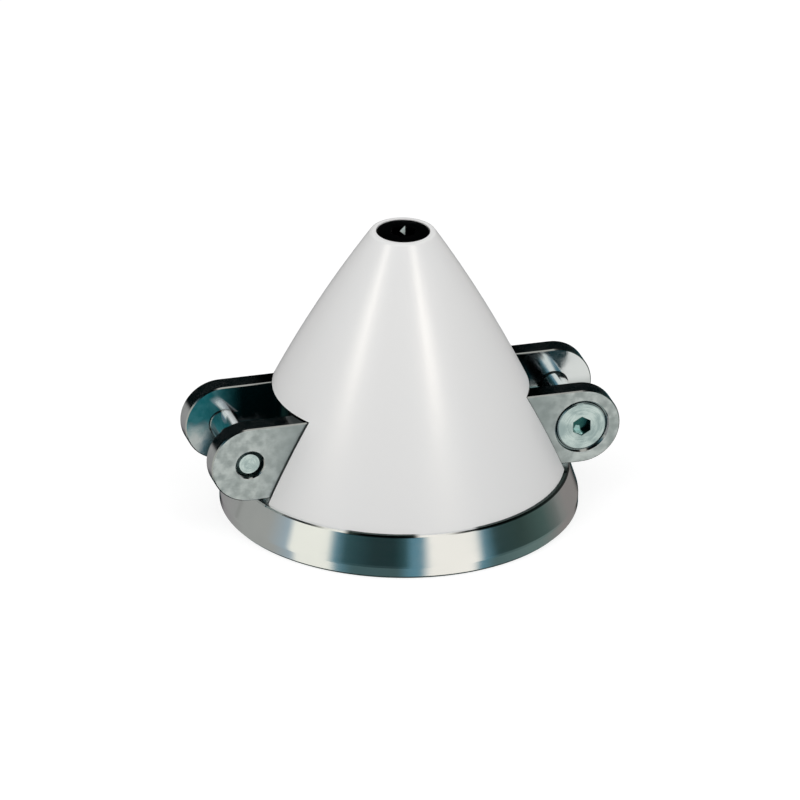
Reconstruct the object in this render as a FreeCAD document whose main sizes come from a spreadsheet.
"""Spinner for a folding model propeller: 38 mm back plate, two-fork yoke, ogive cap.

Frame: the origin is the centre of the back plate's rear face.  +Z runs forward along the
shaft axis to the nose, and X runs along the yoke, through both blade hinges.  Millimetres.
"""
import FreeCAD, Part
import math
import os
import re

import Sketcher

Vector = FreeCAD.Vector
START, END, CENTRE = 1, 2, 3    # how a sketch numbers the points of an edge
NEAR = 1e-5                     # two measures closer than this are the same

# Driving sizes.  Everything else follows from these through the sheet.
SIZES = {
    # back plate, turned from bar
    "rim_diameter": 38.0,
    "rim_rear_chamfer": 0.3,
    "band_height": 1.35,        # plain cylindrical band behind the bevel
    "bevel_width": 1.0,         # how far the bevel runs in, measured on the radius
    "bevel_break": 0.12,        # broken edge between band and bevel
    "seat_height": 4.5,         # rear face to the flat that the cap stands on
    "seat_break": 0.15,         # broken edge between bevel and flat
    "seat_lip": 0.35,           # flat left showing outside the cap
    "rim_wall": 2.4,
    "web_thickness": 1.9,
    "hub_wall": 2.75,
    "recess_fillet": 0.5,
    "spigot_height": 1.2,       # ring that centres the cap
    "spigot_chamfer": 0.25,
    "keyway_depth": 0.7,        # slot milled across the spigot for the yoke
    # yoke, milled from bar
    "yoke_height": 8.35,
    "hinge_inset": 0.8,         # rim's outside to each hinge axis
    "cheek_thickness": 2.2,
    "blade_root": 8.0,
    "blade_side_gap": 0.05,
    "slot_reach": 7.0,          # hinge axis to the inner end of the blade slot
    "slot_corner": 2.0,
    "yoke_chamfer": 0.12,
    # axle screws, countersunk
    "axle_diameter": 3.0,
    "axle_head_diameter": 5.4,
    "axle_head_land": 0.15,
    "axle_hex": 2.0,
    "axle_hex_depth": 1.1,
    "axle_end_recess": 0.3,
    "thread_mouth": 0.1,
    # clamping collet with its stud
    "shaft_diameter": 4.0,
    "stud_diameter": 8.0,
    "taper_rear_diameter": 10.5,
    "taper_shoulder": 0.5,      # cone stops this far short of the yoke
    "collet_recess": 0.3,
    "stud_stand_out": 1.0,
    "stud_web": 1.0,            # solid metal between the shaft bore and the tapped hole
    "slit_width": 0.6,
    "slit_count": 3,
    "slit_margin": 1.3,         # shaft bore runs on this far past the slits
    # clamping nut and washer
    "washer_diameter": 12.5,
    "washer_thickness": 1.0,
    "nut_width": 11.0,
    "nut_height": 4.0,
    "nut_bevel": 0.55,
    # cap, moulded
    "cap_height": 26.85,
    "cap_wall": 1.5,
    "cap_bulge": 0.8,           # rise of the ogive over its straight chord
    "tip_diameter": 6.8,
    "tip_round": 0.35,
    "boss_diameter": 7.0,
    # nose screw, socket head
    "nose_diameter": 3.0,
    "nose_head_diameter": 5.6,
    "nose_head_height": 3.0,
    "nose_head_round": 0.12,
    "nose_hex": 2.5,
    "nose_hex_depth": 1.4,
    "nose_engagement": 5.1,
    "nose_turn": 5.0,           # degrees, where the screw's hexagon stands once it is tight
    "tap_run_out": 0.5,
    # clearances
    "spigot_gap": 0.1,
    "register_relief": 0.2,
    "key_gap": 0.03,
    "cap_slot_gap": 0.15,
    "stud_gap": 0.05,
    "washer_gap": 0.1,
    "boss_gap": 0.5,
    "nose_head_gap": 0.06,
    "nose_head_sink": 0.03,
    "axle_head_gap": 0.15,
    "axle_head_sink": 0.05,
    "axle_gap": 0.02,
    "thread_gap": 0.02,
    "nose_hole_gap": 0.2,
    "screw_end_chamfer": 0.4,
}

# Places and sizes that follow from the sheet, as expressions.
CAP_RADIUS = "(rim_diameter / 2 - bevel_width - seat_break - seat_lip)"
REGISTER_RADIUS = f"({CAP_RADIUS} - cap_wall)"
SPIGOT_RADIUS = f"({REGISTER_RADIUS} - spigot_gap)"
SPIGOT_TOP = "(seat_height + spigot_height)"
YOKE_BOTTOM = f"({SPIGOT_TOP} - keyway_depth)"
YOKE_TOP = f"({YOKE_BOTTOM} + yoke_height)"
YOKE_WIDTH = "(blade_root + 2 * blade_side_gap + 2 * cheek_thickness)"
FORK_GAP = "(blade_root + 2 * blade_side_gap)"
HINGE_REACH = "(rim_diameter / 2 - hinge_inset)"
HINGE_LEVEL = f"({YOKE_BOTTOM} + yoke_height / 2)"
SLOT_END = f"({HINGE_REACH} - slot_reach)"
STUD_BORE = "(stud_diameter / 2 + stud_gap)"
STACK_TOP = f"({YOKE_TOP} + washer_thickness + nut_height)"
STUD_TOP = f"({STACK_TOP} + stud_stand_out)"
BOSS_BOTTOM = f"({STUD_TOP} + boss_gap)"
TIP_LEVEL = "(seat_height + cap_height)"
NOSE_TOP = f"({TIP_LEVEL} - nose_head_sink)"
NOSE_SEAT = f"({NOSE_TOP} - nose_head_height)"
NOSE_END = f"({STUD_TOP} - nose_engagement)"
TAP_RADIUS = "(nose_diameter / 2 + thread_gap)"
DRILL_SLOPE = 0.6               # depth of a drill point for each millimetre of its radius


def taper_radius(level):
    """Radius of the clamping cone at a level, the same in the plate and on the collet."""
    rear = "taper_rear_diameter / 2"
    return f"({rear} - ({rear} - {STUD_BORE}) * {level} / {YOKE_BOTTOM})"


# ---------------------------------------------------------------- sheet and sketch helpers

class Free(float):
    """A coordinate that the other constraints settle; its value is where solving starts."""


def make_sheet(doc):
    """Put the driving sizes in a sheet, one aliased cell each."""
    sheet = doc.addObject("Spreadsheet::Sheet", "Sizes")
    for row, (alias, number) in enumerate(SIZES.items(), 1):
        sheet.set(f"A{row}", alias)
        sheet.set(f"B{row}", str(number))
        sheet.setAlias(f"B{row}", alias)
    doc.recompute()


def in_full(expression):
    """Write each alias in an expression in full, as Sizes.alias."""
    return re.sub(r"[a-z_]+", lambda word: ("Sizes." if word[0] in SIZES else "") + word[0],
                  str(expression))


def value(owner, expression):
    """What an expression comes to with the sheet as it stands."""
    return float(owner.evalExpression(in_full(expression)))


def tie(owner, name, expression):
    """Bind a property to an expression of the sheet."""
    owner.setExpression(name, in_full(expression))


def drive(sketch, kind, *terms, by):
    """Add a constraint whose size is an expression of the sheet."""
    number = sketch.addConstraint(Sketcher.Constraint(kind, *terms, value(sketch, by)))
    tie(sketch, f"Constraints[{number}]", by)


def place_point(sketch, edge, end, across, up):
    """Fix a point of an edge at a distance across and up from the sketch's origin."""
    for kind, distance in (("DistanceX", across), ("DistanceY", up)):
        if not isinstance(distance, Free):
            drive(sketch, kind, -1, 1, edge, end, by=distance)


def new_body(doc, name):
    body = doc.addObject("PartDesign::Body", name)
    body.Label = name
    return body


def origin_item(body, role):
    """One of the body's own origin planes or axes."""
    return [item for item in body.Origin.OriginFeatures if item.Role == role][0]


def new_sketch(body, name, role, offset=None):
    """An empty sketch on one of the body's origin planes, or at an offset from it."""
    sketch = body.newObject("Sketcher::SketchObject", name)
    sketch.AttachmentSupport = (origin_item(body, role), [""])
    sketch.MapMode = "FlatFace"
    if offset is not None:
        tie(sketch, "AttachmentOffset.Base.z", offset)
    return sketch


def add_arc(sketch, centre, here, there):
    """Short arc between two places.  A sketch stores it counter-clockwise."""
    turns = [math.atan2(place.y - centre.y, place.x - centre.x) for place in (here, there)]
    ring = Part.Circle(centre, Vector(0, 0, 1), here.distanceToPoint(centre))
    sketch.addGeometry(Part.ArcOfCircle(ring, min(turns), max(turns)), False)
    return (START, END) if turns[0] < turns[1] else (END, START)


def draw_outline(sketch, corners, centres=None):
    """Closed outline through corners, which are pairs of expressions.

    The edge that starts at a corner is straight, or an arc if that corner has a centre.
    """
    places = [Vector(value(sketch, across), value(sketch, up), 0) for across, up in corners]
    ends = []
    for edge, here in enumerate(places):
        there = places[(edge + 1) % len(places)]
        if centres and edge in centres:
            ends.append(add_arc(sketch, centres[edge], here, there))
        else:
            sketch.addGeometry(Part.LineSegment(here, there), False)
            ends.append((START, END))
    for edge, (across, up) in enumerate(corners):
        follower = (edge + 1) % len(corners)
        joint = Sketcher.Constraint("Coincident", edge, ends[edge][1], follower, ends[follower][0])
        sketch.addConstraint(joint)
        place_point(sketch, edge, ends[edge][0], across, up)


def draw_circle(sketch, radius):
    """Circle about the sketch's origin."""
    sketch.addGeometry(Part.Circle(Vector(), Vector(0, 0, 1), value(sketch, radius)), False)
    sketch.addConstraint(Sketcher.Constraint("Coincident", 0, CENTRE, -1, 1))
    drive(sketch, "Radius", 0, by=radius)


def draw_hexagon(sketch, width):
    """Hexagon about the sketch's origin, by its width across flats."""
    reach = f"({width} / sqrt(3))"
    half, flat = f"({reach} / 2)", f"({width} / 2)"
    draw_outline(sketch, [(reach, 0), (half, flat), (f"-{half}", flat),
                          (f"-{reach}", 0), (f"-{half}", f"-{flat}"), (half, f"-{flat}")])


def draw_obround(sketch, reach, radius, level):
    """Bar outline with round ends, whose centres lie at a reach to each side."""
    half, end, height = (value(sketch, item) for item in (reach, radius, level))
    quarter = math.pi / 2
    for side, edge_level in ((1, height + end), (-1, height - end)):
        ring = Part.Circle(Vector(side * half, height, 0), Vector(0, 0, 1), end)
        first = -quarter if side > 0 else quarter
        sketch.addGeometry(Part.ArcOfCircle(ring, first, first + math.pi), False)
        sketch.addGeometry(Part.LineSegment(Vector(side * half, edge_level, 0),
                                            Vector(-side * half, edge_level, 0)), False)
    for edge in range(4):
        sketch.addConstraint(Sketcher.Constraint("Tangent", edge, END, (edge + 1) % 4, START))
    place_point(sketch, 0, CENTRE, reach, level)
    place_point(sketch, 2, CENTRE, f"-{reach}", level)
    drive(sketch, "Radius", 0, by=radius)


# ---------------------------------------------------------------- feature helpers

def spin(body, kind, name, sketch, axis="V_Axis"):
    """Revolution or Groove of a sketch about one of its own axes or edges."""
    feature = body.newObject("PartDesign::" + kind, name)
    feature.Profile = sketch
    feature.ReferenceAxis = (sketch, [axis])
    feature.Angle = 360
    return feature


def turn(body, kind, name, corners):
    """Turn a profile of (radius, level) corners about the body's Z axis."""
    sketch = new_sketch(body, name + "_profile", "XZ_Plane")
    draw_outline(sketch, corners)
    return spin(body, kind, name, sketch)


def cut_through(body, name, sketch):
    """Pocket that runs through the whole body, to both sides of its sketch."""
    pocket = body.newObject("PartDesign::Pocket", name)
    pocket.Profile = sketch
    pocket.SideType = "Two sides"
    pocket.Type = "ThroughAll"
    pocket.Type2 = "ThroughAll"
    return pocket


def sink_hexagon(body, name, width, top, depth):
    """Hexagon socket, sunk from a level down into a head."""
    sketch = new_sketch(body, name + "_outline", "XY_Plane", offset=top)
    draw_hexagon(sketch, width)
    pocket = body.newObject("PartDesign::Pocket", name)
    pocket.Profile = sketch
    tie(pocket, "Length", depth)
    return pocket


def repeat_round(body, name, features, count):
    """Repeat features round the body's Z axis, and end the body there."""
    pattern = body.newObject("PartDesign::PolarPattern", name)
    pattern.Originals = features
    pattern.Axis = (origin_item(body, "Z_Axis"), [""])
    pattern.Angle = 360
    tie(pattern, "Occurrences", count)
    body.Tip = pattern
    return pattern


def soften(body, kind, name, size, wanted):
    """Fillet or Chamfer on every edge of the body's tip that is wanted."""
    body.Document.recompute()
    tip = body.Tip
    names = [f"Edge{number}" for number, edge in enumerate(tip.Shape.Edges, 1) if wanted(edge)]
    if not names:
        raise ValueError(f"{body.Label} has no edge for {name}")
    feature = body.newObject("PartDesign::" + kind, name)
    feature.Base = (tip, names)
    tie(feature, "Radius" if kind == "Fillet" else "Size", size)
    return feature


def is_ring(edge, radius, level):
    """Whether an edge is a circle about Z of a given radius, at a given level."""
    curve = edge.Curve
    if not isinstance(curve, Part.Circle):
        return False
    return abs(curve.Radius - radius) < NEAR and abs(curve.Center.z - level) < NEAR


def is_upright(edge):
    """Whether an edge is a straight line along Z."""
    return isinstance(edge.Curve, (Part.Line, Part.LineSegment)) and abs(
        edge.Curve.Direction.z) > 1 - NEAR


# ---------------------------------------------------------------- the sub-parts

def make_back_plate(doc):
    """Turned plate: bevelled rim, cap spigot, hollowed back, tapered hub and keyway."""
    body = new_body(doc, "back_plate")
    rim, rear_bore = "(rim_diameter / 2)", "(taper_rear_diameter / 2)"
    hub, rim_inside = f"({rear_bore} + hub_wall)", f"({rim} - rim_wall)"
    web, seat_edge = "(seat_height - web_thickness)", f"({CAP_RADIUS} + seat_lip)"
    bevel_rise = "(seat_height - seat_break - band_height)"
    cut_share = f"(bevel_break / sqrt(bevel_width^2 + {bevel_rise}^2))"
    turn(body, "Revolution", "turned_blank", [
        (rear_bore, 0), (hub, 0), (hub, web), (rim_inside, web), (rim_inside, 0),
        (f"{rim} - rim_rear_chamfer", 0), (rim, "rim_rear_chamfer"),
        (rim, "band_height - bevel_break"),
        (f"{rim} - bevel_width * {cut_share}", f"band_height + {bevel_rise} * {cut_share}"),
        (f"{seat_edge} + seat_break", "seat_height - seat_break"), (seat_edge, "seat_height"),
        (SPIGOT_RADIUS, "seat_height"),
        (SPIGOT_RADIUS, f"{SPIGOT_TOP} - spigot_chamfer"),
        (f"{SPIGOT_RADIUS} - spigot_chamfer", SPIGOT_TOP),
        (STUD_BORE, SPIGOT_TOP), (STUD_BORE, YOKE_BOTTOM)])

    root, walls = value(body, web), (value(body, hub), value(body, rim_inside))
    soften(body, "Fillet", "recess_corners", "recess_fillet",
           lambda edge: any(is_ring(edge, wall, root) for wall in walls))

    half, above = f"({YOKE_WIDTH} / 2 + key_gap)", f"({SPIGOT_TOP} + spigot_height)"
    keyway = new_sketch(body, "keyway_section", "YZ_Plane")
    draw_outline(keyway, [(f"-{half}", YOKE_BOTTOM), (half, YOKE_BOTTOM),
                          (half, above), (f"-{half}", above)])
    cut_through(body, "keyway", keyway)
    return body


def cut_blade_slot(body):
    """Slot for one blade root, open at the end of the bar."""
    outer, half = f"({HINGE_REACH} + yoke_height)", f"({FORK_GAP} / 2)"
    sketch = new_sketch(body, "blade_slot_outline", "XY_Plane")
    draw_outline(sketch, [(SLOT_END, f"-{half}"), (outer, f"-{half}"),
                          (outer, half), (SLOT_END, half)])
    return cut_through(body, "blade_slot", sketch)


def cut_hinge_hole(body):
    """Axle hole through both cheeks: countersunk at one side, a thread mouth at the other."""
    side = f"({YOKE_WIDTH} / 2)"
    mouth = "(axle_head_diameter / 2 + axle_head_gap + axle_head_land)"
    plain = "(axle_diameter / 2 + axle_gap)"
    cone_end = f"({mouth} - {plain})"

    def above(radius):
        return f"{HINGE_LEVEL} + {radius}"

    sketch = new_sketch(body, "hinge_hole_profile", "YZ_Plane", offset=HINGE_REACH)
    draw_outline(sketch, [
        (f"-{side}", HINGE_LEVEL), (side, HINGE_LEVEL), (side, above(f"{plain} + thread_mouth")),
        (f"{side} - thread_mouth", above(plain)), (f"{cone_end} - {side}", above(plain)),
        (f"-{side}", above(mouth))])
    return spin(body, "Groove", "hinge_hole", sketch, axis="Edge1")


def make_yoke(doc):
    """Milled bar with a fork at each end; the forks are alike under a half turn."""
    body = new_body(doc, "yoke")
    outline = new_sketch(body, "bar_outline", "XZ_Plane")
    draw_obround(outline, HINGE_REACH, "yoke_height / 2", HINGE_LEVEL)
    bar = body.newObject("PartDesign::Pad", "bar")
    bar.Profile = outline
    bar.SideType = "Symmetric"
    tie(bar, "Length", YOKE_WIDTH)
    side = value(body, f"{YOKE_WIDTH} / 2")
    soften(body, "Chamfer", "bar_edges", "yoke_chamfer",
           lambda edge: abs(abs(edge.CenterOfMass.y) - side) < NEAR)

    slot = cut_blade_slot(body)
    hole = cut_hinge_hole(body)
    repeat_round(body, "both_forks", [slot, hole], 2)
    bore = new_sketch(body, "stud_bore_outline", "XY_Plane")
    draw_circle(bore, STUD_BORE)
    cut_through(body, "stud_bore", bore)

    slot_end, cheek = value(body, SLOT_END), value(body, f"{FORK_GAP} / 2")
    soften(body, "Fillet", "slot_corners", "slot_corner",
           lambda edge: is_upright(edge) and abs(abs(edge.CenterOfMass.x) - slot_end) < NEAR)
    end_radius = value(body, "yoke_height / 2")
    soften(body, "Chamfer", "fork_edges", "yoke_chamfer",
           lambda edge: abs(abs(edge.CenterOfMass.y) - cheek) < NEAR and not is_upright(edge)
           and edge.BoundBox.ZLength + edge.BoundBox.XLength > end_radius)
    return body


def arc_centre(start, end, radius):
    """Centre of the arc between two places that bulges away from the origin."""
    chord = end - start
    middle = (start + end) * 0.5
    across = Vector(-chord.y, chord.x, 0).normalize()
    if across.dot(middle) > 0:
        across = across * -1
    return middle + across * math.sqrt(radius**2 - chord.Length**2 / 4)


def make_cap(doc):
    """Hollow ogive cap: centring register, two yoke slots, nose boss with a head pocket."""
    body = new_body(doc, "spinner_cap")
    pocket = "(nose_head_diameter / 2 + nose_head_gap)"
    hole = "(nose_diameter / 2 + nose_hole_gap)"
    boss, tip = "(boss_diameter / 2)", "(tip_diameter / 2)"
    shoulder = f"({SPIGOT_TOP} + register_relief)"
    outside = f"((({CAP_RADIUS} - {tip})^2 + cap_height^2) / (8 * cap_bulge) + cap_bulge / 2)"
    inside = f"({outside} - cap_wall)"

    foot = Vector(value(body, CAP_RADIUS), value(body, "seat_height"), 0)
    top = Vector(value(body, tip), value(body, TIP_LEVEL), 0)
    centre = arc_centre(foot, top, value(body, outside))
    reach = value(body, inside)
    boss_root = centre.y + math.sqrt(reach**2 - (value(body, boss) - centre.x)**2)
    wall_root = centre.x + math.sqrt(reach**2 - (value(body, shoulder) - centre.y)**2)

    sketch = new_sketch(body, "cap_profile", "XZ_Plane")
    draw_outline(sketch, [
        (CAP_RADIUS, "seat_height"), (tip, TIP_LEVEL), (pocket, TIP_LEVEL), (pocket, NOSE_SEAT),
        (hole, NOSE_SEAT), (hole, BOSS_BOTTOM), (boss, BOSS_BOTTOM), (boss, Free(boss_root)),
        (Free(wall_root), shoulder), (REGISTER_RADIUS, shoulder),
        (REGISTER_RADIUS, "seat_height")], centres={0: centre, 7: centre})
    sketch.addConstraint(Sketcher.Constraint("Coincident", 0, CENTRE, 7, CENTRE))
    drive(sketch, "Radius", 0, by=outside)
    drive(sketch, "Radius", 7, by=inside)
    spin(body, "Revolution", "shell", sketch)
    edge_radius, level = value(body, tip), value(body, TIP_LEVEL)
    soften(body, "Fillet", "tip_edge", "tip_round", lambda edge: is_ring(edge, edge_radius, level))

    half, roof = f"({YOKE_WIDTH} / 2 + cap_slot_gap)", f"({YOKE_TOP} + cap_slot_gap)"
    below = "(seat_height - yoke_height)"
    slots = new_sketch(body, "yoke_slots_section", "YZ_Plane")
    draw_outline(slots, [(f"-{half}", below), (half, below), (half, roof), (f"-{half}", roof)])
    cut_through(body, "yoke_slots", slots)
    return body


def make_nose_screw(doc):
    """Socket-head screw that draws the cap down onto the plate."""
    body = new_body(doc, "nose_screw")
    shank, head = "(nose_diameter / 2)", "(nose_head_diameter / 2)"
    turn(body, "Revolution", "turned_screw", [
        (0, NOSE_END), (f"{shank} - screw_end_chamfer", NOSE_END),
        (shank, f"{NOSE_END} + screw_end_chamfer"), (shank, NOSE_SEAT), (head, NOSE_SEAT),
        (head, NOSE_TOP), (0, NOSE_TOP)])
    edge_radius, level = value(body, head), value(body, NOSE_TOP)
    soften(body, "Fillet", "head_edge", "nose_head_round",
           lambda edge: is_ring(edge, edge_radius, level))
    sink_hexagon(body, "socket", "nose_hex", NOSE_TOP, "nose_hex_depth")
    tie(body, "Placement.Rotation.Angle", "nose_turn * 1 deg")
    return body


def make_axle_screw(doc, name, side):
    """Countersunk screw that is one blade's hinge; its head is at -Y on the +X side."""
    body = new_body(doc, name)
    shank, head = "(axle_diameter / 2)", "(axle_head_diameter / 2)"
    end = f"(axle_head_sink + axle_end_recess - {YOKE_WIDTH})"
    cone_end = f"(axle_head_land + {head} - {shank})"
    turn(body, "Revolution", "turned_screw", [
        (0, end), (f"{shank} - screw_end_chamfer", end), (shank, f"{end} + screw_end_chamfer"),
        (shank, f"-{cone_end}"), (head, "-axle_head_land"), (head, 0), (0, 0)])
    sink_hexagon(body, "socket", "axle_hex", 0, "axle_hex_depth")
    body.Placement.Rotation = FreeCAD.Rotation(Vector(1, 0, 0), side * 90)
    tie(body, "Placement.Base.x", f"{side} * {HINGE_REACH}")
    tie(body, "Placement.Base.y", f"{-side} * ({YOKE_WIDTH} / 2 - axle_head_sink)")
    tie(body, "Placement.Base.z", HINGE_LEVEL)
    return body


def make_collet(doc):
    """Slit clamping cone with the threaded stud that carries the nut and the nose screw."""
    body = new_body(doc, "collet")
    shaft, stud = "(shaft_diameter / 2)", "(stud_diameter / 2)"
    cone_top = f"({YOKE_BOTTOM} - taper_shoulder)"
    tap_end = f"({NOSE_END} - tap_run_out)"
    tap_point = f"({tap_end} - {TAP_RADIUS} * {DRILL_SLOPE})"
    bore_end = f"({tap_point} - stud_web - {shaft} * {DRILL_SLOPE})"
    turn(body, "Revolution", "turned_blank", [
        (shaft, "collet_recess"), (taper_radius("collet_recess"), "collet_recess"),
        (taper_radius(cone_top), cone_top), (stud, cone_top),
        (stud, f"{STUD_TOP} - screw_end_chamfer"), (f"{stud} - screw_end_chamfer", STUD_TOP),
        (TAP_RADIUS, STUD_TOP), (TAP_RADIUS, tap_end), (0, tap_point),
        (0, f"{tap_point} - stud_web"), (shaft, bore_end)])

    half, slit_top = "(slit_width / 2)", f"({bore_end} - slit_margin)"
    sketch = new_sketch(body, "slit_section", "XZ_Plane")
    draw_outline(sketch, [(f"-{half}", 0), (half, 0), (half, slit_top), (f"-{half}", slit_top)])
    slit = body.newObject("PartDesign::Pocket", "slit")
    slit.Profile = sketch
    slit.Type = "Length"
    tie(slit, "Length", "taper_rear_diameter")
    repeat_round(body, "slits", [slit], "slit_count")
    return body


def make_washer(doc):
    """Plain washer between the yoke and the clamping nut."""
    body = new_body(doc, "clamp_washer")
    inner, outer = "(stud_diameter / 2 + washer_gap)", "(washer_diameter / 2)"
    top = f"({YOKE_TOP} + washer_thickness)"
    turn(body, "Revolution", "ring", [(inner, YOKE_TOP), (outer, YOKE_TOP),
                                      (outer, top), (inner, top)])
    return body


def make_nut(doc):
    """Hexagon nut on the stud, bevelled at both faces."""
    body = new_body(doc, "clamp_nut")
    bottom = f"({YOKE_TOP} + washer_thickness)"
    sketch = new_sketch(body, "hexagon", "XY_Plane", offset=bottom)
    draw_hexagon(sketch, "nut_width")
    block = body.newObject("PartDesign::Pad", "block")
    block.Profile = sketch
    tie(block, "Length", "nut_height")
    bore = new_sketch(body, "bore_outline", "XY_Plane")
    draw_circle(bore, "stud_diameter / 2 + thread_gap")
    cut_through(body, "bore", bore)

    flat = "(nut_width / 2)"
    for name, face, inward in (("front_bevel", STACK_TOP, "-"), ("rear_bevel", bottom, "+")):
        turn(body, "Groove", name, [(flat, face), (f"{flat} * 2", face),
                                    (f"{flat} * 2", f"{face} {inward} nut_bevel * {flat}")])
    return body


# ---------------------------------------------------------------- build, check and write

def check(doc, bodies):
    """Stop if any object failed or any sub-part's shape is empty or not valid."""
    for item in doc.Objects:
        if "Invalid" in item.State or "Error" in item.State:
            raise RuntimeError(f"{item.Name} failed: {item.State}")
    for body in bodies:
        if body.Shape.isNull() or not body.Shape.isValid():
            raise RuntimeError(f"{body.Label} has no valid shape")
        if len(body.Shape.Solids) != 1:
            raise RuntimeError(f"{body.Label} is not one solid")


def main():
    doc = FreeCAD.newDocument("spinner")
    make_sheet(doc)
    bodies = [
        make_back_plate(doc), make_yoke(doc), make_cap(doc), make_nose_screw(doc),
        make_axle_screw(doc, "axle_screw_right", 1), make_axle_screw(doc, "axle_screw_left", -1),
        make_collet(doc), make_washer(doc), make_nut(doc)]
    doc.recompute()
    check(doc, bodies)
    os.makedirs("parts", exist_ok=True)
    for body in bodies:
        body.Shape.exportStep(f"parts/{body.Label}.step")
        print(f"{body.Label}: {body.Shape.Volume:.1f} mm3, {len(body.Shape.Faces)} faces")


main()
